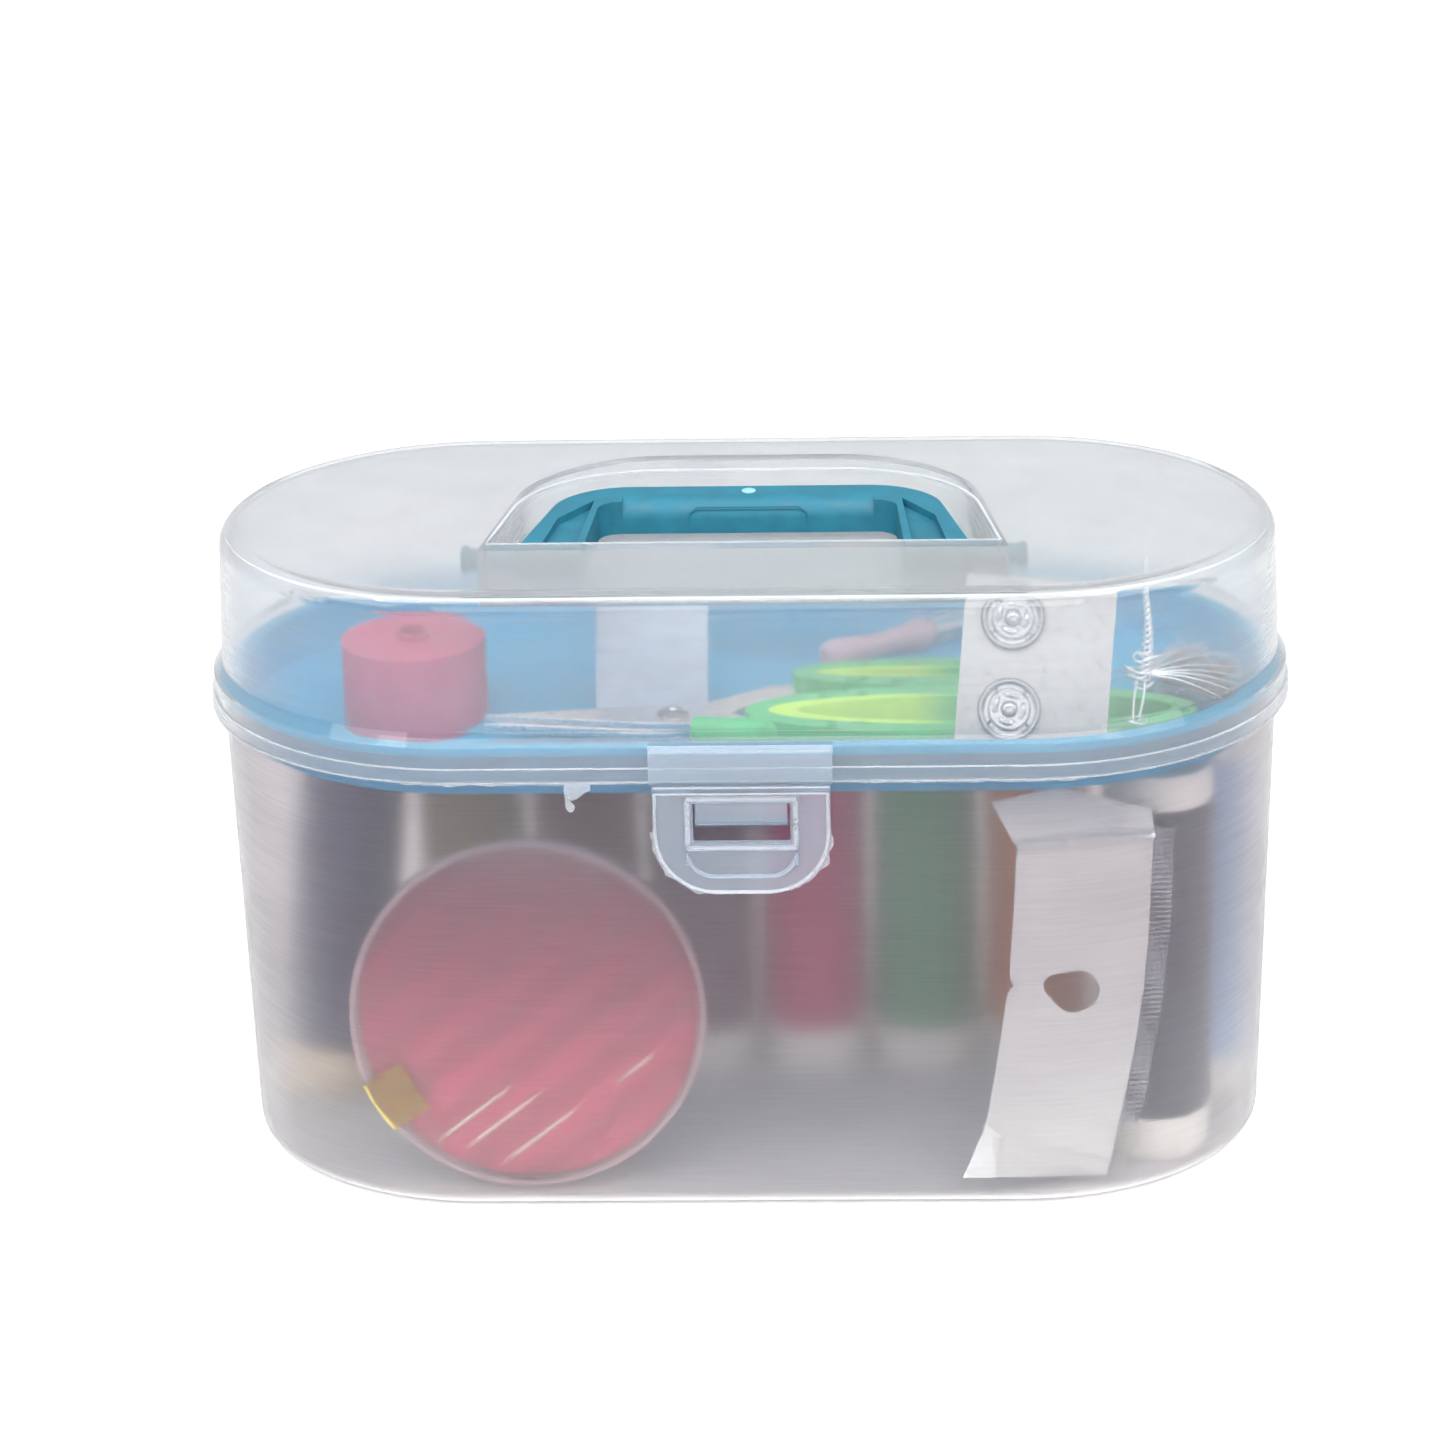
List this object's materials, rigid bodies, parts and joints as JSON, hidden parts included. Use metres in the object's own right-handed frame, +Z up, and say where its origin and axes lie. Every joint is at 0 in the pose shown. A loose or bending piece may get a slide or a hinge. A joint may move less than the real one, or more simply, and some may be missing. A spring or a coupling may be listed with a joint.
{
  "type": "sewing box",
  "caption": "Clear racetrack-shaped sewing box with a hinged lid, front latch, folding carry handle, blue lift-out tray and a sewing kit inside.",
  "frame": {"origin": "middle of the tub's flat underside, on the surface that the box stands on", "axes": "+Z up, +X along the box's length to the right, -Y towards the latch"},
  "size_m": [0.196, 0.1059, 0.1174],
  "materials": {
    "clear_tub": "hazy clear, finely scuffed",
    "clear_lid": "clear, glossy",
    "clear_latch": "clear, moulded",
    "blue_tray": "translucent light blue",
    "cyan_handle": "satin moulded",
    "spool_white": "satin",
    "spool_cream": "satin",
    "thread_navy": "wound thread",
    "thread_olive": "wound thread",
    "thread_brown": "wound thread",
    "thread_grey": "wound thread",
    "thread_magenta": "wound thread",
    "thread_green": "wound thread",
    "thread_orange": "wound thread",
    "thread_black": "wound thread",
    "thread_light_blue": "wound thread",
    "case_clear": "clear, glossy",
    "foil_red": "printed foil",
    "needle_steel": "polished",
    "seal_gold": "metallised sticker",
    "card_white": "coated card",
    "card_grey": "coated card",
    "film_clear": "crimped film",
    "tape_pink": "coated tape",
    "stud_metal": "bright metal",
    "ripper_pink": "moulded",
    "cap_clear": "clear",
    "blade_steel": "ground",
    "bow_green": "moulded",
    "grip_lime": "soft",
    "bag_film": "crinkled film",
    "button_dark": "polished"
  },
  "bodies": {
    "tub_body": {"tub": "clear_tub", "spool_navy": "spool_cream", "spool_olive": "spool_white", "spool_brown": "spool_white", "spool_grey": "spool_white", "spool_magenta": "spool_white", "spool_green": "spool_white", "spool_orange": "spool_white", "spool_black": "spool_white", "spool_light_blue": "spool_white", "thread_navy": "thread_navy", "thread_olive": "thread_olive", "thread_brown": "thread_brown", "thread_grey": "thread_grey", "thread_magenta": "thread_magenta", "thread_green": "thread_green", "thread_orange": "thread_orange", "thread_black": "thread_black", "thread_light_blue": "thread_light_blue", "needle_case_base": "case_clear", "needle_case_cover": "case_clear", "needle_foil": "foil_red", "needles": "needle_steel", "case_seal": "seal_gold", "header_card": "card_white", "film_strip": "film_clear"},
    "lid_body": {"lid": "clear_lid"},
    "latch_body": {"latch": "clear_latch"},
    "handle_body": {"handle": "cyan_handle"},
    "tray_body": {"tray": "blue_tray", "tape_measure": "tape_pink", "snap_card": "card_white", "press_studs": "stud_metal", "needle_card": "card_grey", "ripper_handle": "ripper_pink", "ripper_cap": "cap_clear", "scissor_screw": "blade_steel", "scissor_front_blade": "blade_steel", "scissor_front_handle": "bow_green", "scissor_front_grip": "grip_lime", "button_bag": "bag_film", "buttons": "button_dark"},
    "scissor_body": {"scissor_rear_blade": "blade_steel", "scissor_rear_handle": "bow_green", "scissor_rear_grip": "grip_lime"}
  },
  "joints": [
    {"name": "lid_hinge", "type": "hinge", "parent": "tub_body", "child": "lid_body", "pos_m": [0, 0.0522, 0.083], "axis": [-1, 0, 0], "range_deg": [0, 105]},
    {"name": "latch_fold", "type": "hinge", "parent": "lid_body", "child": "latch_body", "pos_m": [0, -0.0506, 0.08413], "axis": [-1, 0, 0], "range_deg": [0, 110]},
    {"name": "handle_fold", "type": "hinge", "parent": "lid_body", "child": "handle_body", "pos_m": [0, -0.0135, 0.1123], "axis": [1, 0, 0], "range_deg": [0, 90]},
    {"name": "tray_lift", "type": "slide", "parent": "tub_body", "child": "tray_body", "axis": [0, 0, 1], "range_m": [0, 0.027]},
    {"name": "scissor_pivot", "type": "hinge", "parent": "tray_body", "child": "scissor_body", "pos_m": [-0.013, -0.02, 0.085], "axis": [0, 0, 1], "range_deg": [0, 12]}
  ],
  "couplings": [
    {"joint": "tray_lift", "follows": "lid_hinge", "m_per_rad": 0.0145}
  ]
}
